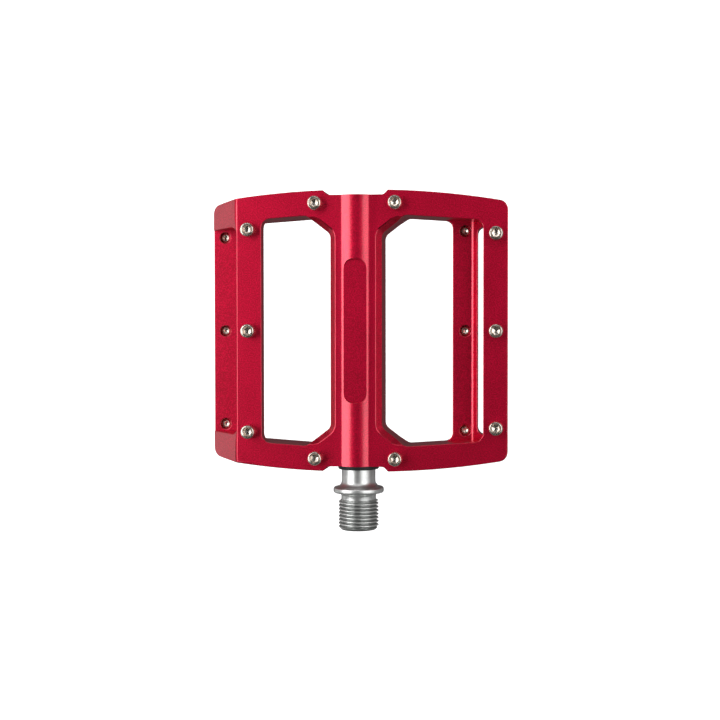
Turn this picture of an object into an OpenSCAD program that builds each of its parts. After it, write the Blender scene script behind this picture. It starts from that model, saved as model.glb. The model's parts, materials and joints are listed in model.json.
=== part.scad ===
// Flat bicycle pedal: machined platform with replaceable traction pins, running on a
// steel spindle with an inboard bushing and an outboard cartridge bearing.
// The origin is on the axle's axis, in the plane of the flange that seats on the crank.
// +Y runs outboard along the axle, +Z is the normal of the upper tread face.
// The platform is the same after half a turn about the axle.

/* [Platform] */
// Width across the two sides
platform_w = 106.4; // [90:0.2:120]
// Thickness from tread face to tread face
platform_t = 16; // [13:0.5:20]
// Crank shoulder to the middle of the platform, along the axle
platform_mid = 57.6; // [52:0.1:65]
// Half length at the arm tips beside the barrel
arm_reach = 49.25; // [45:0.05:54]
// Thickness of rails, plates and pocket floors
wall_t = 4.5; // [3:0.1:6]
// Width of the rail beside each window
rail_w = 8.95; // [6:0.05:12]
// Width of the plate along each outer edge
plate_w = 8.5; // [6:0.1:12]
// Half length of the side pockets
side_pocket_reach = 36.8; // [20:0.1:40]

/* [Windows] */
// Axle axis to the inner wall of a window
window_in = 9.1; // [8.5:0.1:14]
// Axle axis to the outer wall of a window
window_out = 33.4; // [25:0.1:36]
// Half length of a window, extrapolated to the axle
window_reach = 41.6; // [35:0.1:43]
// How much a window shortens per millimetre away from the axle
window_taper = 0.07; // [0:0.01:0.15]

/* [Barrel] */
// Outside diameter
barrel_d = 19; // [17:0.1:22]
// Length
barrel_l = 95.2; // [80:0.1:110]
// Width of the flat pocket cut into the barrel on each face
badge_w = 8; // [0:0.1:9]
// Length of that pocket
badge_l = 50.4; // [10:0.1:80]

/* [Spindle] */
// Crank thread, outside diameter (9/16 inch)
thread_d = 14.28; // [12.7:0.01:14.3]
// Crank thread length from the shoulder
thread_l = 13.1; // [12:0.1:15]
// Flange diameter
flange_d = 18; // [16:0.1:22]
// Journal diameter
journal_d = 12; // [10:0.1:14]
// Key size of the socket in the threaded end
spindle_hex = 8; // [6:1:8]

/* [Bearing] */
// Bore
bearing_bore = 8; // [6:1:10]
// Outside diameter
bearing_d = 14; // [13:0.5:16]
// Width
bearing_w = 4; // [3:0.5:5]
// Number of balls
ball_count = 9; // [7:1:10]
// Ball diameter
ball_d = 2; // [1.5:0.1:2.4]
// Radial clearance of running fits
running_gap = 0.03; // [0.01:0.01:0.1]

/* [Traction pins] */
// Thread size
pin_d = 4; // [3:0.5:5]
// Head diameter
pin_head_d = 4.9; // [4:0.1:7]
// Head height above the tread face
pin_head_h = 3.2; // [1:0.1:6]

/* [Hidden] */
$fn = 64;
// How far cuts run past the faces they open
eps = 0.2;
half_w = platform_w / 2;
half_t = platform_t / 2;
rail_out = window_out + rail_w;
plate_in = half_w - plate_w;
pocket_floor = half_t - wall_t;
bevel = half_w - rail_out;
// Foot of the slope that rises from the ledge, one wall thickness inside the opposite bevel
slope_foot = rail_out - wall_t * (sqrt(2) - 1);
barrel_y0 = platform_mid - barrel_l / 2;
barrel_y1 = platform_mid + barrel_l / 2;

// Edge of the arms: falls away from the tip as a shallow curve
tip_x = 11.5;
edge_slope = 0.03;
edge_curve = 0.0018;
edge_steps = 8;
outer_corner_r = 3.2;
notch_x = 8.3;
notch_r = 1.6;
function edge_y(x) = arm_reach - edge_slope * (x - tip_x) - edge_curve * pow(x - tip_x, 2);

// Window corners
window_corner_r = 3.2;
shoulder_r = 3;
shoulder_foot = 34;
shoulder_slope = 0.77;
shoulder_x = (window_reach - shoulder_foot + shoulder_slope * window_in) / (shoulder_slope + window_taper);
function window_end(x) = window_reach - window_taper * x;

// Relief cut along the window edge beside the barrel: width, depth and length of the turn
relief_w = 1.95;
relief_h = 2.2;
relief_run = 4;

pocket_corner_r = 2.3;
pocket_taper = 0.6;

badge_floor = 8.5;
badge_corner_r = 3.2;

// Stations along the axle inside the barrel
seal_l = 3.5;
seal_d = 15;
seal_lip_d = 14.5;
seal_lip_l = 1.5;
bushing_y = barrel_y0 + seal_l;
bushing_l = 14;
bushing_d = 14;
middle_bore_d = 13;
bearing_y = 86;
circlip_y = bearing_y + bearing_w;
circlip_t = 0.8;
circlip_d = 14.7;
washer_t = 1.2;
washer_d = 9.2;
nut_y = circlip_y + washer_t;
nut_h = 5.5;
nut_af = 10;
nut_thread_d = 6;
cap_y = 100.4;
cap_d = 15;
cap_l = 4.4;
cap_hex = 6;
o_ring_section = 1.15;

// Pins: [x, y from the platform's middle, shank length] on the upper face
rail_pin_x = 37.9;
rail_pin_y = 35.5;
plate_pin_x = 49.15;
plate_pin_y = 33.7;
arm_pin_x = 14.1;
arm_pin_y = 44.6;
short_shank = 4.1;
long_shank = 6;
pin_spots = [
    [-rail_pin_x, -rail_pin_y, short_shank],
    [-rail_pin_x, 0, short_shank],
    [-rail_pin_x, rail_pin_y, short_shank],
    [plate_pin_x, -plate_pin_y, short_shank],
    [plate_pin_x, 0, short_shank],
    [plate_pin_x, plate_pin_y, short_shank],
    [-arm_pin_x, -arm_pin_y, long_shank],
    [-arm_pin_x, arm_pin_y, long_shank],
    [arm_pin_x, -arm_pin_y, long_shank],
    [arm_pin_x, arm_pin_y, long_shank]
];
pin_count = len(pin_spots);

anodised_red = [0.72, 0.05, 0.16];
satin_steel = [0.66, 0.66, 0.65];
pin_steel = [0.55, 0.52, 0.48];
bearing_steel = [0.75, 0.76, 0.78];
bronze = [0.62, 0.47, 0.25];
black_rubber = [0.06, 0.06, 0.06];
nylon_blue = [0.15, 0.3, 0.65];

// ---------- outlines ----------

function unit(v) = v / norm(v);
function turn(a) = a > 180 ? a - 360 : a < -180 ? a + 360 : a;

// Points of the arc that rounds corner q, met from p and left towards s
function corner_arc(p, q, s, r, n = 6) =
    let (a = unit(p - q), b = unit(s - q), h = acos(a * b) / 2)
    let (c = q + unit(a + b) * r / sin(h))
    let (start = q + a * r / tan(h) - c, end = q + b * r / tan(h) - c)
    let (a0 = atan2(start.y, start.x), sweep = turn(atan2(end.y, end.x) - a0))
    [for (i = [0:n]) c + r * [cos(a0 + sweep * i / n), sin(a0 + sweep * i / n)]];

function flat2(p) = [p.x, p.y];

// Outline from corners given as [x, y, radius]
function rounded(c) =
    let (n = len(c))
    [for (i = [0:n - 1])
        let (p = flat2(c[(i + n - 1) % n]), q = flat2(c[i]), s = flat2(c[(i + 1) % n]))
        for (pt = c[i].z > 0 ? corner_arc(p, q, s, c[i].z) : [q]) pt];

function reversed(c) = [for (i = [len(c) - 1:-1:0]) c[i]];
function flip_x(c) = reversed([for (p = c) [-p.x, p.y, p.z]]);
function flip_y(c) = reversed([for (p = c) [p.x, -p.y, p.z]]);

// One quarter of the platform's outline, from the outer corner to the barrel
outline_quarter = concat(
    [[half_w, edge_y(half_w), outer_corner_r]],
    [for (i = [1:edge_steps]) let (x = half_w - (half_w - tip_x) * i / edge_steps) [x, edge_y(x), 0]],
    [[notch_x + notch_r, barrel_l / 2, notch_r]]
);
outline_half = concat(outline_quarter, flip_x(outline_quarter));

// Window from its inner wall out to x_out
function window_corners(x_out) =
    let (top = [
        [x_out, window_end(x_out), window_corner_r],
        [shoulder_x, window_end(shoulder_x), shoulder_r],
        [window_in, shoulder_foot, shoulder_r]])
    concat(top, flip_y(top));

// ---------- helpers ----------

// Places children drawn along +Z so that they run outboard from y0
module on_axle(y0) {
    translate([0, y0, 0]) rotate([-90, 0, 0]) children();
}

// Hollow or solid round bar on the axle
module sleeve(y0, l, d_out, d_in) {
    on_axle(y0) difference() {
        cylinder(h = l, d = d_out);
        translate([0, 0, -eps]) cylinder(h = l + 2 * eps, d = d_in);
    }
}

// Repeats children after half a turn about the axle
module both_faces() {
    for (a = [0, 180]) rotate([0, a, 0]) children();
}

// Hexagonal bar by its width across flats
module hex_bar(af, h) {
    cylinder(h = h, d = af / cos(30), $fn = 6);
}

// Prism along Y with a section drawn in X and Z
module cross_bar(section, l) {
    translate([0, l / 2, 0]) rotate([90, 0, 0]) linear_extrude(height = l) polygon(section);
}

// ---------- platform ----------

module blank() {
    linear_extrude(height = platform_t, center = true)
        polygon(rounded(concat(outline_half, [for (p = outline_half) [-p.x, -p.y, p.z]])));
    on_axle(-barrel_l / 2) cylinder(h = barrel_l, d = barrel_d, $fn = 96);
}

// 45 degree bevel along the upper left side
module outer_bevel() {
    over = 2;
    cross_bar([
        [-rail_out + over, half_t + over],
        [-half_w - over, half_t + over],
        [-half_w - over, half_t - bevel - over]], 2 * arm_reach + 2);
}

// Recess from above that leaves the ledge, its slope and the right plate
module ledge_recess() {
    difference() {
        translate([0, 0, -pocket_floor])
            linear_extrude(height = half_t + pocket_floor + eps) polygon(rounded(window_corners(plate_in)));
        cross_bar([
            [slope_foot - eps, -pocket_floor - eps],
            [plate_in + eps, -pocket_floor - eps],
            [plate_in + eps, plate_in + eps - slope_foot - pocket_floor]], 2 * arm_reach);
    }
}

module through_window() {
    linear_extrude(height = platform_t + 2, center = true) polygon(rounded(window_corners(window_out)));
}

// Pocket from below under the right plate, open to the side
module side_pocket() {
    reach_out = side_pocket_reach - pocket_taper;
    corners = [
        [half_w + 2, -reach_out, 0],
        [half_w + 2, reach_out, 0],
        [rail_out, side_pocket_reach, pocket_corner_r],
        [rail_out, -side_pocket_reach, pocket_corner_r]];
    translate([0, 0, -half_t - eps])
        linear_extrude(height = half_t + pocket_floor + eps) polygon(rounded(corners));
}

// Cut of a chamfer mill run from p to q along the upper face
module relief_cut(p, q) {
    slope = relief_w / relief_h;
    low = half_t - relief_h - eps;
    high = half_t + eps;
    r_low = shoulder_r - slope * eps;
    r_high = shoulder_r + relief_w + slope * eps;
    run = norm(q - p);
    translate([p.x, p.y, low]) {
        cylinder(h = high - low, r1 = r_low, r2 = r_high);
        rotate([0, 0, atan2(q.y - p.y, q.x - p.x) - 90]) translate([0, run / 2, 0])
            cross_bar([
                [-r_low, 0],
                [r_low, 0],
                [r_high, high - low],
                [-r_high, high - low]], run);
    }
    translate([q.x, q.y, low]) cylinder(h = high - low, r1 = r_low, r2 = r_high);
}

// Relief beside the barrel on one window, turning into its two shoulders
module window_relief() {
    along = unit([1, shoulder_slope]);
    drop = shoulder_r * (1 / along.x - along.y / along.x);
    a = [window_in + shoulder_r, shoulder_foot - drop];
    b = a + relief_run * along;
    relief_cut([a.x, -a.y], a);
    relief_cut(a, b);
    relief_cut([a.x, -a.y], [b.x, -b.y]);
}

// Flat pocket on the barrel's crown
module badge_pocket() {
    corner = [badge_w / 2, badge_l / 2, badge_corner_r];
    quarter_pair = [corner, [-corner.x, corner.y, corner.z]];
    outline = concat(quarter_pair, [for (p = quarter_pair) [-p.x, -p.y, p.z]]);
    translate([0, 0, badge_floor]) linear_extrude(height = 2) polygon(rounded(outline));
}

module axle_bores() {
    on_axle(barrel_y0 - 1) cylinder(h = seal_l + 1, d = seal_d);
    on_axle(bushing_y - eps) cylinder(h = bushing_l + eps, d = bushing_d);
    on_axle(bushing_y) cylinder(h = bearing_y - bushing_y, d = middle_bore_d);
    on_axle(bearing_y) cylinder(h = cap_y - bearing_y, d = bearing_d);
    on_axle(circlip_y) cylinder(h = circlip_t, d = circlip_d);
    on_axle(cap_y) cylinder(h = barrel_y1 - cap_y + 1, d = cap_d);
}

module pin_holes() {
    for (s = pin_spots) translate([s.x, s.y, 0]) cylinder(h = half_t + 1, d = pin_d, $fn = 32);
}

module platform() {
    color(anodised_red) difference() {
        translate([0, platform_mid, 0]) difference() {
            blank();
            both_faces() {
                outer_bevel();
                ledge_recess();
                side_pocket();
                through_window();
                badge_pocket();
                pin_holes();
                window_relief();
                mirror([1, 0, 0]) window_relief();
            }
        }
        axle_bores();
    }
}

// ---------- spindle and seal ----------

// Neck that flares from the journal to the flange
neck_y0 = 2;
neck_l = 2.4;
neck_r = 8.6;
function neck_point(a) =
    let (r0 = journal_d / 2)
    [r0 + (neck_r - r0) * (1 - sin(a)), neck_y0 + neck_l * (1 - cos(a))];

module spindle() {
    end_chamfer = 0.9;
    taper_y0 = 31;
    taper_y1 = 62;
    neck_shaft_r = 4.9;
    nut_end = 98;
    socket_depth = 9;
    profile = concat(
        [
            [0, -thread_l],
            [thread_d / 2 - end_chamfer, -thread_l],
            [thread_d / 2, end_chamfer - thread_l],
            [thread_d / 2, 0],
            [flange_d / 2 - 0.5, 0],
            [flange_d / 2, 0.5],
            [flange_d / 2, 1.7],
            [neck_r + 0.1, neck_y0]
        ],
        [for (a = [0:15:90]) neck_point(a)],
        [
            [journal_d / 2, taper_y0],
            [neck_shaft_r, taper_y1],
            [neck_shaft_r, bearing_y],
            [bearing_bore / 2, bearing_y],
            [bearing_bore / 2, circlip_y],
            [nut_thread_d / 2, circlip_y],
            [nut_thread_d / 2, nut_end - 0.6],
            [nut_thread_d / 2 - 0.6, nut_end],
            [0, nut_end]
        ]);
    color(satin_steel) difference() {
        on_axle(0) rotate_extrude() polygon(profile);
        on_axle(-thread_l - eps) hex_bar(spindle_hex, socket_depth + eps);
    }
}

module lip_seal() {
    bore_r = journal_d / 2 + running_gap;
    lip_r = seal_lip_d / 2;
    color(black_rubber) on_axle(barrel_y0) rotate_extrude() polygon([
        [bore_r, -seal_lip_l],
        [lip_r - 0.5, -seal_lip_l],
        [lip_r, 0.5 - seal_lip_l],
        [lip_r, 0],
        [seal_d / 2, 0],
        [seal_d / 2, seal_l],
        [bore_r, seal_l]]);
}

module inboard_bushing() {
    color(bronze) sleeve(bushing_y, bushing_l, bushing_d, journal_d + 2 * running_gap);
}

// ---------- cartridge bearing ----------

race_t = 0.95;
pitch_r = (bearing_bore + bearing_d) / 4;
shield_t = 0.3;
shield_inset = 0.15;

// Round groove that the balls run in
module ball_groove() {
    rotate_extrude() translate([pitch_r, 0]) circle(r = ball_d / 2 + running_gap, $fn = 32);
}

module race(r_in, r_out) {
    on_axle(bearing_y + bearing_w / 2) difference() {
        cylinder(h = bearing_w, r = r_out, center = true);
        cylinder(h = bearing_w + 1, r = r_in, center = true);
        ball_groove();
    }
}

module bearing_outer_race() {
    color(bearing_steel) race(bearing_d / 2 - race_t, bearing_d / 2);
}

module bearing_inner_race() {
    color(bearing_steel) race(bearing_bore / 2, bearing_bore / 2 + race_t);
}

module at_balls() {
    on_axle(bearing_y + bearing_w / 2)
        for (i = [0:ball_count - 1]) rotate([0, 0, i * 360 / ball_count]) translate([pitch_r, 0, 0]) children();
}

module bearing_balls() {
    color(bearing_steel) at_balls() sphere(d = ball_d, $fn = 32);
}

module bearing_cage() {
    cage_w = 2.7;
    cage_t = 0.8;
    pocket_r = ball_d / 2 + running_gap;
    color(bronze) difference() {
        on_axle(bearing_y + (bearing_w - cage_w) / 2) difference() {
            cylinder(h = cage_w, r = pitch_r + cage_t / 2);
            translate([0, 0, -eps]) cylinder(h = cage_w + 2 * eps, r = pitch_r - cage_t / 2);
        }
        at_balls() rotate([0, 90, 0]) cylinder(h = 2 * cage_t, r = pocket_r, center = true, $fn = 32);
    }
}

module bearing_shield(y0) {
    color(black_rubber)
        sleeve(y0, shield_t, bearing_d - 2 * race_t, bearing_bore + 2 * race_t + 2 * running_gap);
}

module bearing_shield_inboard() {
    bearing_shield(bearing_y + shield_inset);
}

module bearing_shield_outboard() {
    bearing_shield(bearing_y + bearing_w - shield_inset - shield_t);
}

// Internal retaining ring with its gap and two plier eyes
module bearing_circlip() {
    ring_w = 1.2;
    eye_d = 2.2;
    eye_hole_d = 1;
    eye_r = 5.9;
    eye_angle = 14;
    gap_reach = 20;
    gap_half_w = 4;
    color(pin_steel) on_axle(circlip_y) linear_extrude(height = circlip_t) difference() {
        union() {
            difference() {
                circle(d = circlip_d);
                circle(d = circlip_d - 2 * ring_w);
                polygon([[0, 0], [gap_reach, -gap_half_w], [gap_reach, gap_half_w]]);
            }
            for (s = [-1, 1]) rotate(s * eye_angle) translate([eye_r, 0]) circle(d = eye_d, $fn = 24);
        }
        for (s = [-1, 1]) rotate(s * eye_angle) translate([eye_r, 0]) circle(d = eye_hole_d, $fn = 24);
    }
}

// ---------- nut, washer and cap ----------

nut_bore_d = nut_thread_d + 0.04;

module axle_washer() {
    color(satin_steel) sleeve(circlip_y, washer_t, washer_d, nut_bore_d);
}

insert_h = 1.4;
insert_d = 7.8;

module axle_lock_nut() {
    color(bearing_steel) on_axle(nut_y) difference() {
        hex_bar(nut_af, nut_h);
        translate([0, 0, -eps]) cylinder(h = nut_h + 2 * eps, d = nut_bore_d);
        translate([0, 0, nut_h - insert_h]) cylinder(h = insert_h + eps, d = insert_d);
    }
}

module lock_nut_insert() {
    color(nylon_blue) sleeve(nut_y + nut_h - insert_h, insert_h, insert_d, nut_bore_d);
}

o_ring_y = 1.6;

module end_cap() {
    groove_r = cap_d / 2 - o_ring_section;
    groove_w = o_ring_section + 0.1;
    socket_depth = 2.6;
    rim = 0.4;
    color(anodised_red) on_axle(cap_y) difference() {
        rotate_extrude() polygon([
            [0, 0],
            [cap_d / 2, 0],
            [cap_d / 2, o_ring_y - groove_w / 2],
            [groove_r, o_ring_y - groove_w / 2],
            [groove_r, o_ring_y + groove_w / 2],
            [cap_d / 2, o_ring_y + groove_w / 2],
            [cap_d / 2, cap_l - rim],
            [cap_d / 2 - rim, cap_l],
            [0, cap_l]]);
        translate([0, 0, cap_l - socket_depth]) hex_bar(cap_hex, socket_depth + eps);
    }
}

module end_cap_o_ring() {
    color(black_rubber) on_axle(cap_y + o_ring_y) rotate_extrude()
        translate([cap_d / 2 - o_ring_section / 2, 0]) circle(d = o_ring_section, $fn = 32);
}

// ---------- traction pins ----------

// Head proud of the face, threaded shank below it, a key socket at each end
module traction_pin(shank) {
    rim = 0.45;
    head_r = pin_head_d / 2;
    front_hex = 2.5;
    front_depth = 2;
    back_hex = 2;
    back_depth = 1;
    difference() {
        union() {
            cylinder(h = pin_head_h - rim, r = head_r, $fn = 32);
            translate([0, 0, pin_head_h - rim]) cylinder(h = rim, r1 = head_r, r2 = head_r - rim, $fn = 32);
            translate([0, 0, -shank]) cylinder(h = shank + eps, d = pin_d, $fn = 32);
        }
        translate([0, 0, pin_head_h - front_depth]) hex_bar(front_hex, front_depth + eps);
        translate([0, 0, -shank - eps]) hex_bar(back_hex, back_depth + eps);
    }
}

// Pin i of one face: face_turn is 0 for the upper face and 180 for the lower one
module pin_on_face(i, face_turn) {
    s = pin_spots[i - 1];
    color(pin_steel) translate([0, platform_mid, 0]) rotate([0, face_turn, 0])
        translate([s.x, s.y, half_t]) traction_pin(s.z);
}

// ---------- nodes ----------

platform();
spindle();
lip_seal();
inboard_bushing();
bearing_outer_race();
bearing_inner_race();
bearing_balls();
bearing_cage();
bearing_shield_inboard();
bearing_shield_outboard();
bearing_circlip();
axle_washer();
axle_lock_nut();
lock_nut_insert();
end_cap();
end_cap_o_ring();
for (i = [1:pin_count]) {
    pin_on_face(i, 0);
    pin_on_face(i, 180);
}
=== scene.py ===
import json
import math

import bmesh
import bpy
from mathutils import Matrix, Vector


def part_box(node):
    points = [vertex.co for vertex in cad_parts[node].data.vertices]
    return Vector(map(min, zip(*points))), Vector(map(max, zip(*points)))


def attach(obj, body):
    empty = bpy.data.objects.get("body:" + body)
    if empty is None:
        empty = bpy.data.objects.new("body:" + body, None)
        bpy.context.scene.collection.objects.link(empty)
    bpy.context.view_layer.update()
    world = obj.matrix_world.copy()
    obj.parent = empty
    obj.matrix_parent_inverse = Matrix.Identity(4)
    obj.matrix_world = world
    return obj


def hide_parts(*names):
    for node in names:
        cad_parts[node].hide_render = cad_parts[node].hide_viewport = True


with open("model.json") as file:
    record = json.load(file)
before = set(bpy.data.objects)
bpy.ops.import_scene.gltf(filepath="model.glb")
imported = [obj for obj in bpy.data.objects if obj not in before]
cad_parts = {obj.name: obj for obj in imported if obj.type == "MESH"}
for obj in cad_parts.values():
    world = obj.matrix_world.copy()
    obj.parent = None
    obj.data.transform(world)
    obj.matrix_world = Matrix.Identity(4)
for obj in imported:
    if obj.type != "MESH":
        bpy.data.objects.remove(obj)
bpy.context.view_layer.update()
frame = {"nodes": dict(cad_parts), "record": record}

MM = 0.001
TURN = 2 * math.pi
WHITE = (1, 1, 1, 1)

# ---------------------------------------------------------------- places, from the frame

platform_lo, platform_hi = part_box("platform")
middle = (platform_lo + platform_hi) / 2
half_width = (platform_hi.x - platform_lo.x) / 2
tread_z = 8 * MM


def link(obj):
    bpy.context.scene.collection.objects.link(obj)
    return obj


# ---------------------------------------------------------------- materials


class Nodes:
    """A material with its Principled shader and short calls for the nodes that feed it."""

    def __init__(self, name):
        self.material = bpy.data.materials.new(name)
        self.material.use_nodes = True
        self.tree = self.material.node_tree
        self.shader = self.tree.nodes["Principled BSDF"]
        self.coords = self.tree.nodes.new("ShaderNodeTexCoord").outputs["Object"]

    def put(self, value, socket):
        """Sets a socket to a number or a colour, or links another node's output to it."""
        if isinstance(value, bpy.types.NodeSocket):
            self.tree.links.new(value, socket)
        elif isinstance(value, tuple) and len(value) == 3:
            socket.default_value = (*value, 1)
        else:
            socket.default_value = value

    def scaled(self, scale):
        """Object coordinates, each multiplied by its own factor."""
        mapping = self.tree.nodes.new("ShaderNodeMapping")
        mapping.inputs["Scale"].default_value = scale
        self.put(self.coords, mapping.inputs["Vector"])
        return mapping.outputs["Vector"]

    def noise(self, size, detail=2.0, stretch=(1, 1, 1)):
        """Noise whose lumps are about size across, in metres."""
        node = self.tree.nodes.new("ShaderNodeTexNoise")
        node.inputs["Scale"].default_value = 1 / size
        node.inputs["Detail"].default_value = detail
        self.put(self.scaled(stretch), node.inputs["Vector"])
        return node.outputs["Fac"]

    def along_axle(self):
        """The object coordinate along Y, in metres."""
        node = self.tree.nodes.new("ShaderNodeSeparateXYZ")
        self.put(self.coords, node.inputs["Vector"])
        return node.outputs["Y"]

    def axle_distance(self):
        """The object coordinate's distance from the Y axis, in metres."""
        node = self.tree.nodes.new("ShaderNodeVectorMath")
        node.operation = "LENGTH"
        self.put(self.scaled((1, 0, 1)), node.inputs[0])
        return node.outputs["Value"]

    def fit(self, value, low, high, source=(0.3, 0.7)):
        """Maps source onto low to high. The usual source is the span that noise mostly keeps to."""
        node = self.tree.nodes.new("ShaderNodeMapRange")
        self.put(value, node.inputs["Value"])
        node.inputs["From Min"].default_value = source[0]
        node.inputs["From Max"].default_value = source[1]
        node.inputs["To Min"].default_value = low
        node.inputs["To Max"].default_value = high
        return node.outputs["Result"]

    def blend(self, fac, a, b):
        """Colour between a and b."""
        node = self.tree.nodes.new("ShaderNodeMix")
        node.data_type = "RGBA"
        self.put(fac, node.inputs["Factor"])
        self.put(a, node.inputs["A"])
        self.put(b, node.inputs["B"])
        return node.outputs["Result"]

    def add(self, a, b):
        node = self.tree.nodes.new("ShaderNodeMath")
        node.operation = "ADD"
        self.put(a, node.inputs[0])
        self.put(b, node.inputs[1])
        return node.outputs["Value"]

    def bump(self, height, depth):
        node = self.tree.nodes.new("ShaderNodeBump")
        node.inputs["Distance"].default_value = depth
        node.inputs["Strength"].default_value = 1
        self.put(height, node.inputs["Height"])
        self.put(node.outputs["Normal"], self.shader.inputs["Normal"])

    def set(self, **values):
        """Shader sockets by name, with _ for a space. Returns the material."""
        for name, value in values.items():
            self.put(value, self.shader.inputs[name.replace("_", " ")])
        return self.material


def red_anodised():
    """Bead-blasted aluminium, dyed red and sealed: fine grain, small glints and faint mottling."""
    m = Nodes("red_anodised")
    grain = m.noise(0.32 * MM, 2)
    mottle = m.noise(1.1 * MM, 3)
    cloud = m.noise(14 * MM, 2)
    tone = m.add(m.fit(m.noise(0.42 * MM, 2), -0.45, 0.75), m.fit(cloud, 0.15, 0.45))
    m.bump(m.add(grain, mottle), 0.018 * MM)
    return m.set(
        Base_Color=m.blend(tone, (0.46, 0.001, 0.025), (0.78, 0.002, 0.051)),
        Metallic=1.0,
        Roughness=m.fit(grain, 0.42, 0.52),
        Coat_Weight=1.0,
        Coat_Roughness=0.22,
        Coat_IOR=1.55,
        Specular_Tint=(1.0, 0.3, 0.4, 1.0),
    )


def turned_steel():
    """Steel from a lathe: fine rings round the axle, satin, with painted shade in the thread's
    roots and a painted highlight on its crests.
    """
    m = Nodes("turned_steel")
    rings = m.noise(0.10 * MM, 1, (0.02, 1, 0.02))
    mottle = m.noise(1.6 * MM, 3)
    m.bump(m.add(rings, mottle), 0.004 * MM)
    bright = m.blend(m.fit(mottle, 0, 1), (0.60, 0.61, 0.60), (0.72, 0.73, 0.72))
    # Painted shade and highlight: the thread runs from dark in its roots to brighter than bare
    # steel on its crests, by distance from the axle.
    crest = m.fit(m.axle_distance(), 0, 1, (6.5 * MM, 7.1 * MM))
    painted_thread_shade_highlight = m.blend(crest, (0.31, 0.32, 0.31), (0.80, 0.81, 0.80))
    past_thread = m.fit(m.along_axle(), 0, 1, (-3.2 * MM, -2.4 * MM))
    return m.set(
        Base_Color=m.blend(past_thread, painted_thread_shade_highlight, bright),
        Metallic=1.0,
        Roughness=m.fit(rings, 0.35, 0.46),
    )


def plated_steel():
    """Nickel-plated pins: bright, a little warm, with handling marks."""
    m = Nodes("plated_steel")
    fine = m.noise(0.22 * MM, 3)
    stain = m.noise(1.3 * MM, 2)
    m.bump(fine, 0.006 * MM)
    return m.set(
        Base_Color=m.blend(m.fit(stain, 0, 1), (0.55, 0.46, 0.39), (0.90, 0.82, 0.74)),
        Metallic=1.0,
        Roughness=m.fit(fine, 0.18, 0.30),
    )


def black_rubber():
    """Moulded seal: matt, with a trace of dust."""
    m = Nodes("black_rubber")
    fine = m.noise(0.18 * MM, 3)
    dust = m.noise(2 * MM, 2)
    m.bump(fine, 0.012 * MM)
    return m.set(
        Base_Color=m.blend(m.fit(dust, 0, 1), (0.010, 0.010, 0.010), (0.022, 0.022, 0.023)),
        Roughness=m.fit(fine, 0.45, 0.62),
    )


def grained(name, size, detail, depth, dark, light, roughness, metallic):
    """Finish for the inner parts: one fine noise drives its colour, roughness and bump."""
    m = Nodes(name)
    fine = m.noise(size * MM, detail)
    m.bump(fine, depth * MM)
    return m.set(
        Base_Color=m.blend(m.fit(fine, 0, 1), dark, light),
        Metallic=metallic,
        Roughness=m.fit(fine, *roughness),
    )


finishes = {
    "red_anodised": red_anodised(),
    "spindle_steel": turned_steel(),
    "pin_steel": plated_steel(),
    "bearing_steel": grained(
        "polished_steel", 0.3, 2, 0.001, (0.60, 0.61, 0.63), (0.72, 0.73, 0.75), (0.08, 0.16), 1.0
    ),
    "bronze": grained(
        "sintered_bronze", 0.25, 3, 0.02, (0.22, 0.13, 0.06), (0.52, 0.34, 0.15), (0.35, 0.55), 1.0
    ),
    "black_rubber": black_rubber(),
    "blue_nylon": grained(
        "blue_nylon", 0.3, 2, 0.01, (0.03, 0.10, 0.36), (0.05, 0.15, 0.46), (0.35, 0.5), 0.0
    ),
}
slot_of = {part["node"]: part["material_slot"] for part in frame["record"]["subparts"]}


def finish_piece(obj, body, node):
    """Gives a new piece the finish of the node it stands for, and ties it to its body."""
    slot = slot_of[node]
    obj.data.materials.clear()
    obj.data.materials.append(finishes[slot])
    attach(obj, body)
    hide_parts(node)
    return obj


# ---------------------------------------------------------------- turned parts


def ring_point(kind, size, angle):
    """Point on a circle of radius size, or on a hexagon that is size across its flats."""
    if kind == "hex":
        sixth = TURN / 6
        size = size / 2 / math.cos(angle % sixth - sixth / 2)
    return size * math.cos(angle), size * math.sin(angle)


def bridge(bm, lower, upper):
    """Band of faces between two rings of vertices."""
    for i in range(len(lower)):
        j = (i + 1) % len(lower)
        bm.faces.new((lower[i], lower[j], upper[j], upper[i]))


def closed(bm, rows):
    """Joins rings of vertices in order and caps both ends."""
    for lower, upper in zip(rows, rows[1:]):
        bridge(bm, lower, upper)
    bm.faces.new(reversed(rows[0]))
    bm.faces.new(rows[-1])
    bmesh.ops.recalc_face_normals(bm, faces=bm.faces)


def turned(name, rings, place, steps=48):
    """Closed part from rings given as (kind, size in mm, height in mm)."""
    bm = bmesh.new()
    rows = []
    for kind, size, height in rings:
        points = [ring_point(kind, size * MM, TURN * i / steps) for i in range(steps)]
        rows.append([bm.verts.new((x, y, height * MM)) for x, y in points])
    closed(bm, rows)
    bm.transform(place)
    return mesh_object(name, bm)


def mesh_object(name, bm, smooth_angle=math.radians(32)):
    """Turns a bmesh into an object, smooth except across edges sharper than smooth_angle."""
    mesh = bpy.data.meshes.new(name)
    for face in bm.faces:
        face.smooth = True
    for edge in bm.edges:
        edge.smooth = len(edge.link_faces) == 2 and edge.calc_face_angle(0) < smooth_angle
    bm.to_mesh(mesh)
    bm.free()
    return link(bpy.data.objects.new(name, mesh))


# ---------------------------------------------------------------- platform

# Places on the platform in mm, from its middle: X across, Y along the axle, Z off the mid plane
RAIL_OUT = 42.35
SLOPE_FOOT = 40.49
LEDGE_TOP = 3.5
RELIEF_IN = 9
RELIEF_OUT = 20
RELIEF_REACH = 38.5
RELIEF_FLOOR = 5
BADGE_HALF_W = 4.3
BADGE_FLOOR = 8.3
BARREL_SIDE = 11.4
BARREL_END = 46
BORE_R = 7.8

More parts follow.
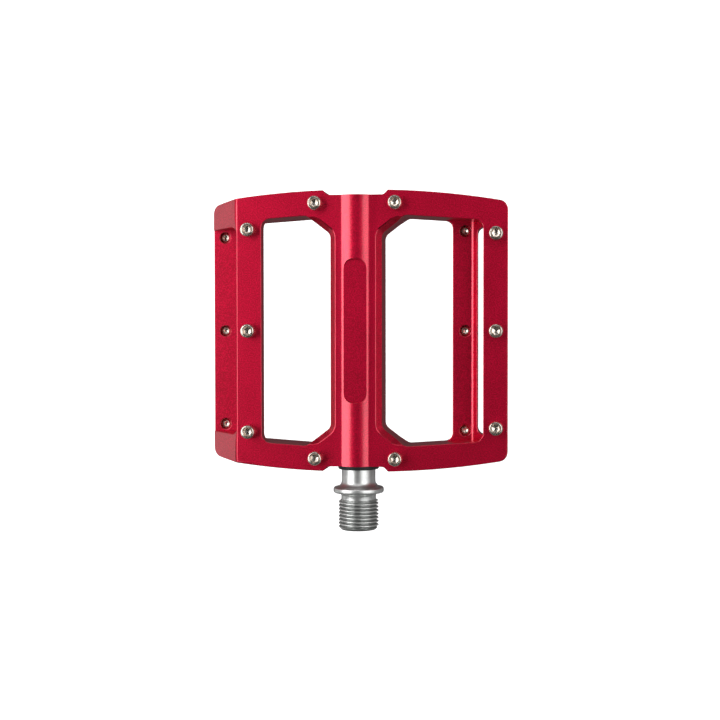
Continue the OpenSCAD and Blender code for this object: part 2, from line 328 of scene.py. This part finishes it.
# Widths in mm that its edges are broken to
OUTER_BEVEL_ROUND = 1.7
LEDGE_FILLET = 0.9
RELIEF_EDGE = 0.16
BADGE_EDGE = 0.10
BARREL_EDGE = 0.15
MACHINED_EDGE = 0.28


def near(value, target):
    return abs(value - target) < 0.06


def edge_width(edge):
    """Width in mm that an edge of the platform is broken to, or 0 to leave it alone."""
    if len(edge.link_faces) != 2 or edge.calc_face_angle(0) < math.radians(20):
        return 0
    a, b = ((v.co - Vector((0, middle.y, 0))) / MM for v in edge.verts)
    if max(math.hypot(p.x, p.z) for p in (a, b)) < BORE_R:
        return 0
    x, y, z = (abs(value) for value in (a + b) / 2)
    along = abs((b - a).normalized().y) > 0.99
    if not edge.is_convex:
        ledge_corner = along and near(x, SLOPE_FOOT) and near(z, LEDGE_TOP)
        return LEDGE_FILLET if ledge_corner else 0
    if along and near(x, RAIL_OUT) and near(z, tread_z / MM):
        return OUTER_BEVEL_ROUND
    if z > RELIEF_FLOOR and RELIEF_IN < x < RELIEF_OUT and y < RELIEF_REACH:
        return RELIEF_EDGE
    if x < BADGE_HALF_W and z > BADGE_FLOOR:
        return BADGE_EDGE
    if x < BARREL_SIDE and y > BARREL_END:
        return BARREL_EDGE
    return MACHINED_EDGE


def platform_piece():
    """The CAD platform with its edges broken and its curved walls shaded smooth."""
    bm = bmesh.new()
    bm.from_mesh(frame["nodes"]["platform"].data)
    bmesh.ops.remove_doubles(bm, verts=bm.verts, dist=0.002 * MM)
    bmesh.ops.dissolve_limit(bm, angle_limit=math.radians(0.6), verts=bm.verts, edges=bm.edges)
    bmesh.ops.recalc_face_normals(bm, faces=bm.faces)
    weight = bm.edges.layers.float.new("bevel_weight_edge")
    for edge in bm.edges:
        edge[weight] = edge_width(edge) / OUTER_BEVEL_ROUND
    obj = mesh_object("platform_machined", bm, math.radians(30))
    bevel = obj.modifiers.new("broken_edges", "BEVEL")
    bevel.limit_method = "WEIGHT"
    bevel.offset_type = "WIDTH"
    bevel.width = OUTER_BEVEL_ROUND * MM
    bevel.segments = 3
    bevel.use_clamp_overlap = False
    bevel.harden_normals = False
    shade = obj.modifiers.new("flat_faces", "WEIGHTED_NORMAL")
    shade.keep_sharp = True
    shade.weight = 80
    return finish_piece(obj, "platform", "platform")


# ---------------------------------------------------------------- spindle

# Crank thread, in mm
PITCH = 1.27
CREST_R = 7.13
ROOT_R = 6.36
UNDERCUT_R = 6.18
THREAD_END = -2.3
ROWS_PER_PITCH = 14


def thread_radius(phase):
    """Radius over one pitch: rounded root, 60 degree flank, narrow flat crest, flank."""
    wave = 1 - abs(2 * (phase % 1) - 1)
    rise = min(1, max(0, (wave - 0.10) / 0.78))
    return ROOT_R + (CREST_R - ROOT_R) * rise * rise * (3 - 2 * rise)


def thread_rows(bm, start, steps):
    """Rings of a left-hand thread from start along the axle, chamfered at both ends."""
    chamfer = 1.0
    length = THREAD_END - start
    count = int(length / PITCH * ROWS_PER_PITCH)
    rows = []
    for k in range(count + 1):
        y = start + length * k / count
        limit = min(CREST_R - chamfer + (y - start), UNDERCUT_R + 1.5 * (THREAD_END - y))
        row = []
        for i in range(steps):
            a = TURN * i / steps
            r = min(limit, thread_radius((y - start) / PITCH + i / steps))
            row.append(bm.verts.new((r * MM * math.sin(a), y * MM, r * MM * math.cos(a))))
        rows.append(row)
    return rows


def axle_ring(bm, kind, size, y, steps):
    """Ring of vertices round the axle at y, with size and y in mm."""
    row = []
    for i in range(steps):
        x, z = ring_point(kind, size * MM, TURN * i / steps)
        row.append(bm.verts.new((z, y * MM, x)))
    return row


def neck_profile():
    """Quarter round that flares from the journal to the flange, as (radius, y) in mm."""
    points = []
    for step in range(10):
        a = math.radians(10 * step)
        points.append((6.0 + 2.6 * (1 - math.sin(a)), 2.0 + 2.4 * (1 - math.cos(a))))
    return points


def spindle_piece():
    """One closed mesh: key socket, thread, undercut, flange, neck, journals and nut thread."""
    steps = 96
    lo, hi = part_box("spindle")
    inboard = lo.y / MM
    outboard = hi.y / MM
    socket = [
        ("hex", 1.0, inboard + 8.4),
        ("hex", 8, inboard + 9),
        ("hex", 8, inboard + 0.5),
        ("circle", 5.0, inboard),
        ("circle", 6.0, inboard),
    ]
    undercut = [(UNDERCUT_R, -1.1), (6.35, -0.55), (6.9, -0.12), (7.3, 0), (8.35, 0)]
    flange = [(8.72, 0.12), (8.95, 0.38), (9.0, 0.7), (9.0, 1.35), (8.93, 1.66), (8.78, 1.88)]
    journals = [(6.0, 10), (6.0, 31), (4.9, 62), (4.9, 86), (4.0, 86), (4.0, 90), (3.0, 90)]
    nut_thread = [(3.0, outboard - 0.6), (2.4, outboard)]

    bm = bmesh.new()
    rows = [axle_ring(bm, kind, size, y, steps) for kind, size, y in socket]
    rows += thread_rows(bm, inboard, steps)
    for r, y in undercut + flange + neck_profile() + journals + nut_thread:
        rows.append(axle_ring(bm, "circle", r, y, steps))
    closed(bm, rows)
    return finish_piece(mesh_object("spindle_turned", bm, math.radians(35)), "spindle", "spindle")


# ---------------------------------------------------------------- seal, cap and pins


def outboard_from(y):
    """Placement that runs a turned part's height outboard from y."""
    return Matrix.Translation((0, y, 0)) @ Matrix.Rotation(math.radians(-90), 4, "X")


def seal_piece():
    """Ring with a double lip towards the flange."""
    steps = 72
    lo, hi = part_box("lip_seal")
    length = (hi.y - lo.y) / MM
    lips = [(6.03, 0.5), (6.25, 0.12), (6.6, 0.0), (6.75, 0.22), (6.9, 0.0), (7.1, 0.1)]
    sleeve = [(7.25, 0.4), (7.25, 1.5), (7.5, 1.5), (7.5, length), (6.03, length)]
    bm = bmesh.new()
    rows = [axle_ring(bm, "circle", r, lo.y / MM + y, steps) for r, y in lips + sleeve]
    for lower, upper in zip(rows, rows[1:] + rows[:1]):
        bridge(bm, lower, upper)
    bmesh.ops.recalc_face_normals(bm, faces=bm.faces)
    return finish_piece(mesh_object("lip_seal_moulded", bm), "platform", "lip_seal")


def cap_piece():
    """Plug with a groove for its O-ring and a hexagon in its outer face."""
    lo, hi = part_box("end_cap")
    top = (hi.y - lo.y) / MM
    rings = [
        ("circle", 7.0, 0),
        ("circle", 7.45, 0.4),
        ("circle", 7.45, 1.0),
        ("circle", 6.4, 1.0),
        ("circle", 6.4, 2.2),
        ("circle", 7.45, 2.2),
        ("circle", 7.45, top - 0.5),
        ("circle", 7.3, top - 0.15),
        ("circle", 6.95, top),
        ("circle", 4.3, top),
        ("circle", 4.1, top - 0.1),
        ("hex", 6, top - 0.6),
        ("hex", 6, top - 2.6),
        ("hex", 0.6, top - 2.9),
    ]
    cap = turned("end_cap_turned", rings, outboard_from(lo.y), 60)
    return finish_piece(cap, "platform", "end_cap")


# Height of a pin's head above the tread, in mm
HEAD_H = 3.2


def pin_rings(shank):
    """Screwed pin from its back to its head: broken rims, two hexagon sockets, rolled thread."""
    back = [
        ("hex", 0.4, 1.4 - shank),
        ("hex", 1.6, 1.1 - shank),
        ("hex", 1.6, 0.3 - shank),
        ("circle", 0.95, 0.12 - shank),
        ("circle", 1.15, 0.1 - shank),
        ("circle", 1.3, 0.2 - shank),
        ("circle", 1.75, 0.75 - shank),
        ("circle", 1.95, 0.9 - shank),
    ]
    thread_pitch = 0.7
    thread = []
    for i in range(int((shank - 1.3) / thread_pitch)):
        base = 0.95 - shank + thread_pitch * i
        thread += [
            ("circle", 1.68, base + 0.25),
            ("circle", 1.68, base + 0.33),
            ("circle", 1.97, base + 0.6),
        ]
    head = [
        ("circle", 1.97, -0.02),
        ("circle", 2.3, 0.0),
        ("circle", 2.43, 0.12),
        ("circle", 2.45, 0.3),
        ("circle", 2.45, HEAD_H - 0.62),
        ("circle", 2.40, HEAD_H - 0.40),
        ("circle", 2.27, HEAD_H - 0.18),
        ("circle", 2.12, HEAD_H - 0.05),
        ("circle", 2.0, HEAD_H),
        ("circle", 1.8, HEAD_H),
        ("circle", 1.72, HEAD_H - 0.06),
        ("hex", 2.6, HEAD_H - 0.42),
        ("hex", 2.5, HEAD_H - 0.55),
        ("hex", 2.5, HEAD_H - 2.0),
        ("hex", 0.4, HEAD_H - 2.4),
    ]
    return back + thread + head


def pin_piece(node, up):
    """Pin in its hole, with its sockets stopped at an angle of its own."""
    lo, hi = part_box(node)
    centre = (lo + hi) / 2
    shank = (hi.z - lo.z) / MM - HEAD_H
    place = Matrix.Translation((centre.x, centre.y, tread_z if up else -tread_z))
    if not up:
        place = place @ Matrix.Rotation(math.pi, 4, "Y")
    turn = Matrix.Rotation(math.radians(37 * (centre.x + 2 * centre.y) / MM), 4, "Z")
    return finish_piece(turned("screwed_" + node, pin_rings(shank), place @ turn), "platform", node)


platform_piece()
spindle_piece()
seal_piece()
cap_piece()
for side in ("top", "bottom"):
    for number in range(1, 11):
        pin_piece("%s_pin_%d" % (side, number), side == "top")

# ---------------------------------------------------------------- carried-over CAD nodes

for name, obj in frame["nodes"].items():
    for slot in obj.material_slots:
        slot.material = finishes[slot_of[name]]

# ---------------------------------------------------------------- stage, light and camera

BACKDROP_GLOW = 0.72
LIGHT_DISTANCE = 0.9
sweep_radius = math.hypot(half_width, tread_z) + 3 * MM


def backdrop_piece(name, bm):
    """Pale stage surface that the camera sees, and that leaves the light on the pedal alone."""
    obj = mesh_object(name, bm)
    m = Nodes(name)
    patches = m.fit(m.noise(60 * MM, 2), 0, 1)
    m.set(Base_Color=m.blend(patches, (0.80, 0.80, 0.80), (0.84, 0.84, 0.84)), Roughness=0.85)
    m.set(Emission_Color=WHITE, Emission_Strength=BACKDROP_GLOW)
    obj.data.materials.append(m.material)
    obj.visible_glossy = False
    obj.visible_diffuse = False
    return obj


def backdrop():
    """Studio floor just below the circle that the platform sweeps, and a dome round it."""
    floor = bmesh.new()
    bmesh.ops.create_circle(floor, cap_ends=True, segments=96, radius=4)
    floor.transform(Matrix.Translation((0, middle.y, -sweep_radius)))
    backdrop_piece("studio_floor", floor)
    dome = bmesh.new()
    bmesh.ops.create_icosphere(dome, subdivisions=4, radius=4.2)
    backdrop_piece("studio_dome", dome).visible_shadow = False


def aim(obj, place, target, up):
    """Puts obj at place, looking at target along its -Z, with its +Y as near to up as it goes."""
    back = (place - target).normalized()
    right = up.cross(back).normalized()
    rotation = Matrix((right, back.cross(right), back)).transposed().to_4x4()
    obj.matrix_world = Matrix.Translation(place) @ rotation


def softbox(name, angle, lean, width, length, radiance):
    """Rectangular light: angle from straight above towards +X, lean towards +Y, in degrees."""
    data = bpy.data.lights.new(name, "AREA")
    data.shape = "RECTANGLE"
    data.size = width
    data.size_y = length
    data.energy = radiance * math.pi * width * length
    obj = link(bpy.data.objects.new(name, data))
    a = math.radians(angle)
    b = math.radians(lean)
    away = Vector((math.sin(a) * math.cos(b), math.sin(b), math.cos(a) * math.cos(b)))
    aim(obj, middle + away * LIGHT_DISTANCE, middle, Vector((0, 1, 0)))
    obj.visible_camera = False
    return obj


def studio_world():
    """Dark overhead and below, with a soft glow under the horizon for the sides of the part."""
    world = bpy.data.worlds.new("studio")
    world.use_nodes = True
    tree = world.node_tree
    direction = tree.nodes.new("ShaderNodeTexCoord").outputs["Generated"]
    split = tree.nodes.new("ShaderNodeSeparateXYZ")
    tree.links.new(direction, split.inputs["Vector"])
    height = tree.nodes.new("ShaderNodeMapRange")
    height.inputs["From Min"].default_value = -1
    tree.links.new(split.outputs["Z"], height.inputs["Value"])
    # Brightness by height: 0 is straight down, 0.5 the horizon and 1 straight up
    levels = ((0.0, 0.06), (0.06, 0.10), (0.14, 0.35), (0.32, 0.25))
    levels += ((0.47, 0.10), (0.60, 0.15), (0.80, 0.08), (1.0, 0.04))
    ramp = tree.nodes.new("ShaderNodeValToRGB")
    elements = ramp.color_ramp.elements
    while len(elements) < len(levels):
        elements.new(0.5)
    for element, (place, level) in zip(elements, levels):
        element.position = place
        element.color = (level, level, level, 1)
    tree.links.new(height.outputs["Result"], ramp.inputs["Fac"])
    tree.links.new(ramp.outputs["Color"], tree.nodes["Background"].inputs["Color"])
    bpy.context.scene.world = world


def photo_camera():
    """Camera at the photo's point of view, with the pedal where it is in the photo's frame.

    The photo's picture plane is parallel to the tread. A small shift gives part of that, and the
    camera is turned towards the pedal for the rest.
    """
    camera = bpy.data.cameras.new("camera")
    camera.sensor_width = 36
    camera.lens = 60.85
    camera.shift_x = -0.08
    camera.clip_start = 0.01
    obj = link(bpy.data.objects.new("camera", camera))
    place = middle + Vector((61, 0, 430)) * MM
    target = middle + Vector((21.15, -10.3, 0)) * MM
    aim(obj, place, target, Vector((0, 1, 0)))
    bpy.context.scene.camera = obj


backdrop()
softbox("left_softbox", angle=-48, lean=9, width=0.64, length=0.9, radiance=4.0)
softbox("right_softbox", angle=45, lean=8, width=0.62, length=0.9, radiance=2.4)
softbox("left_card", angle=-105, lean=0, width=0.20, length=1.3, radiance=1.0)
softbox("right_card", angle=72, lean=0, width=0.25, length=1.3, radiance=1.0)
softbox("outboard_card", angle=0, lean=48, width=0.5, length=0.25, radiance=2.4)
studio_world()
bpy.context.scene.view_settings.view_transform = "Standard"
photo_camera()
